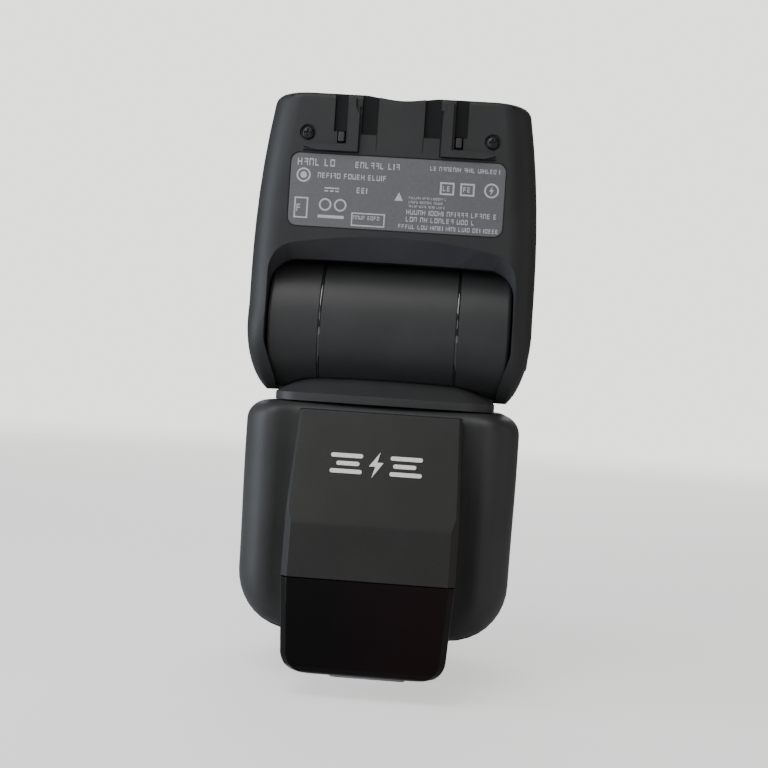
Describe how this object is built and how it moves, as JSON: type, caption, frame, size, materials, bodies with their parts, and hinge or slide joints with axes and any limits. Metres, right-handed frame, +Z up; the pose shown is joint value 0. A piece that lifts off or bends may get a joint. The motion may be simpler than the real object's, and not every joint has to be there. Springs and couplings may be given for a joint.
{
  "type": "speedlight flash",
  "caption": "Compact hot-shoe flash with a swivelling neck, a tilting head with a zooming reflector, a dark red front window and a slanted rear control panel.",
  "frame": {"origin": "centre of the shoe foot's sole", "axes": "+Z up through the foot, the swivel axis and the head at rest; -Y forward, to the subject; +X to the right of someone facing the front"},
  "size_m": [0.0689, 0.0797, 0.1408],
  "materials": {
    "shell": "fine grained black moulding",
    "keys": "smooth satin black",
    "inner_plastic": "plain black moulding",
    "red_window": "polished, very dark red",
    "label": "printed film, satin grey",
    "clear": "clear moulded plastic",
    "smoke_window": "polished dark window",
    "display": "grey green liquid crystal",
    "white_card": "smooth white",
    "steel": "machined",
    "black_steel": "black plated",
    "mirror": "bright reflector",
    "brass": "gold plated or turned",
    "board": "green lacquered board"
  },
  "bodies": {
    "body": {"body_front_cover": "shell", "body_rear_cover": "shell", "nose_cover": "shell", "af_window": "red_window", "af_emitter": "clear", "wireless_sensor": "clear", "battery_box": "inner_plastic", "battery_contacts": "steel", "main_capacitor": "inner_plastic", "main_board": "board", "lcd_panel": "display", "lcd_window": "smoke_window", "link_lamp": "clear", "foot_base": "steel", "door_hinge_pin": "steel"},
    "neck": {"turret_base": "shell", "barrel_left_cover": "shell", "barrel_centre_cover": "shell", "barrel_right_cover": "shell", "tilt_bush_left": "brass", "tilt_bush_right": "brass", "click_spring": "steel", "swivel_retainer": "steel"},
    "head": {"head_bottom_cover": "shell", "head_top_cover": "shell", "fresnel_lens": "clear", "tilt_shaft": "steel", "detent_disc": "steel", "hinge_cap_left": "shell", "hinge_cap_right": "shell", "rating_label": "label", "head_screw_left": "black_steel", "head_screw_right": "black_steel", "zoom_rail": "steel", "zoom_motor": "steel"},
    "zoom_reflector": {"zoom_carriage": "inner_plastic", "reflector": "mirror", "flash_tube": "clear"},
    "zoom_screw": {"zoom_screw": "steel"},
    "wide_panel": {"wide_panel": "clear"},
    "catchlight_card": {"catchlight_card": "white_card"},
    "bounce_lock_button": {"bounce_lock_button": "keys"},
    "filter_tab_left": {"filter_tab_left": "keys"},
    "filter_tab_right": {"filter_tab_right": "keys"},
    "battery_door": {"battery_door": "shell", "door_contact_plate": "steel"},
    "function_button_1": {"function_button_1": "keys"},
    "function_button_2": {"function_button_2": "keys"},
    "function_button_3": {"function_button_3": "keys"},
    "function_button_4": {"function_button_4": "keys"},
    "wireless_button": {"wireless_button": "keys"},
    "menu_button": {"menu_button": "keys"},
    "test_button": {"test_button": "keys"},
    "set_button": {"set_button": "keys"},
    "select_dial": {"select_dial": "keys"},
    "power_switch": {"power_switch": "keys"},
    "lock_lever": {"lock_lever": "shell"},
    "lock_release_button": {"lock_release_button": "keys"},
    "lock_pin": {"lock_pin": "steel"},
    "contact_pins": {"contact_pins": "brass"}
  },
  "joints": [
    {"name": "swivel", "type": "hinge", "parent": "body", "child": "neck", "pos_m": [0, 0, 0.066], "axis": [0, 0, 1], "range_deg": [-180, 150]},
    {"name": "head_tilt", "type": "hinge", "parent": "neck", "child": "head", "pos_m": [0, 0, 0.086], "axis": [1, 0, 0], "range_deg": [0, 90]},
    {"name": "zoom_slide", "type": "slide", "parent": "head", "child": "zoom_reflector", "axis": [0, 0, -1], "range_m": [0, 0.014]},
    {"name": "zoom_screw_spin", "type": "hinge", "parent": "head", "child": "zoom_screw", "pos_m": [0.0282, 0.009, 0.123], "axis": [0, 0, 1], "range_deg": [0, 850]},
    {"name": "wide_panel_slide", "type": "slide", "parent": "head", "child": "wide_panel", "axis": [0, 0, 1], "range_m": [0, 0.03]},
    {"name": "catchlight_slide", "type": "slide", "parent": "head", "child": "catchlight_card", "axis": [0, 0, 1], "range_m": [0, 0.03]},
    {"name": "bounce_lock_press", "type": "slide", "parent": "head", "child": "bounce_lock_button", "axis": [-1, 0, 0], "range_m": [0, 0.001], "stiffness_N_per_m": 80, "springref_m": -0.001},
    {"name": "filter_tab_left_press", "type": "slide", "parent": "head", "child": "filter_tab_left", "axis": [0, 1, 0], "range_m": [0, 0.0006], "stiffness_N_per_m": 80, "springref_m": -0.001},
    {"name": "filter_tab_right_press", "type": "slide", "parent": "head", "child": "filter_tab_right", "axis": [0, 1, 0], "range_m": [0, 0.0006], "stiffness_N_per_m": 80, "springref_m": -0.001},
    {"name": "battery_door_hinge", "type": "hinge", "parent": "body", "child": "battery_door", "pos_m": [-0.0309, 0.0033, 0.0219], "axis": [0, -1, 0], "range_deg": [0, 100]},
    {"name": "function_button_1_press", "type": "slide", "parent": "body", "child": "function_button_1", "axis": [0, -0.9711, -0.2385], "range_m": [0, 0.0008], "stiffness_N_per_m": 80, "springref_m": -0.001},
    {"name": "function_button_2_press", "type": "slide", "parent": "body", "child": "function_button_2", "axis": [0, -0.9711, -0.2385], "range_m": [0, 0.0008], "stiffness_N_per_m": 80, "springref_m": -0.001},
    {"name": "function_button_3_press", "type": "slide", "parent": "body", "child": "function_button_3", "axis": [0, -0.9711, -0.2385], "range_m": [0, 0.0008], "stiffness_N_per_m": 80, "springref_m": -0.001},
    {"name": "function_button_4_press", "type": "slide", "parent": "body", "child": "function_button_4", "axis": [0, -0.9711, -0.2385], "range_m": [0, 0.0008], "stiffness_N_per_m": 80, "springref_m": -0.001},
    {"name": "wireless_button_press", "type": "slide", "parent": "body", "child": "wireless_button", "axis": [0, -0.9711, -0.2385], "range_m": [0, 0.0008], "stiffness_N_per_m": 80, "springref_m": -0.001},
    {"name": "menu_button_press", "type": "slide", "parent": "body", "child": "menu_button", "axis": [0, -0.9711, -0.2385], "range_m": [0, 0.0008], "stiffness_N_per_m": 80, "springref_m": -0.001},
    {"name": "test_button_press", "type": "slide", "parent": "body", "child": "test_button", "axis": [0, -0.9711, -0.2385], "range_m": [0, 0.0008], "stiffness_N_per_m": 80, "springref_m": -0.001},
    {"name": "set_button_press", "type": "slide", "parent": "body", "child": "set_button", "axis": [0, -0.9711, -0.2385], "range_m": [0, 0.0008], "stiffness_N_per_m": 80, "springref_m": -0.001},
    {"name": "select_dial_turn", "type": "hinge", "parent": "body", "child": "select_dial", "pos_m": [0, 0.0403, 0.02498], "axis": [0, 0.9711, 0.2385], "continuous": true},
    {"name": "power_switch_slide", "type": "slide", "parent": "body", "child": "power_switch", "axis": [1, 0, 0], "range_m": [0, 0.005]},
    {"name": "lock_lever_turn", "type": "hinge", "parent": "body", "child": "lock_lever", "pos_m": [0, 0, 0.0085], "axis": [0, 0, 1], "range_deg": [0, 35]},
    {"name": "lock_pin_drop", "type": "slide", "parent": "body", "child": "lock_pin", "axis": [0, 0, -1], "range_m": [0, 0.0016]},
    {"name": "lock_release_press", "type": "slide", "parent": "lock_lever", "child": "lock_release_button", "axis": [0, -1, 0], "range_m": [0, 0.0008], "stiffness_N_per_m": 80, "springref_m": -0.001},
    {"name": "contact_pins_press", "type": "slide", "parent": "body", "child": "contact_pins", "axis": [0, 0, 1], "range_m": [0, 0.0008], "stiffness_N_per_m": 80, "springref_m": -0.001}
  ],
  "couplings": [
    {"joint": "zoom_screw_spin", "follows": "zoom_slide", "rad_per_m": 1047.2},
    {"joint": "lock_pin_drop", "follows": "lock_lever_turn", "m_per_rad": 0.00245}
  ]
}
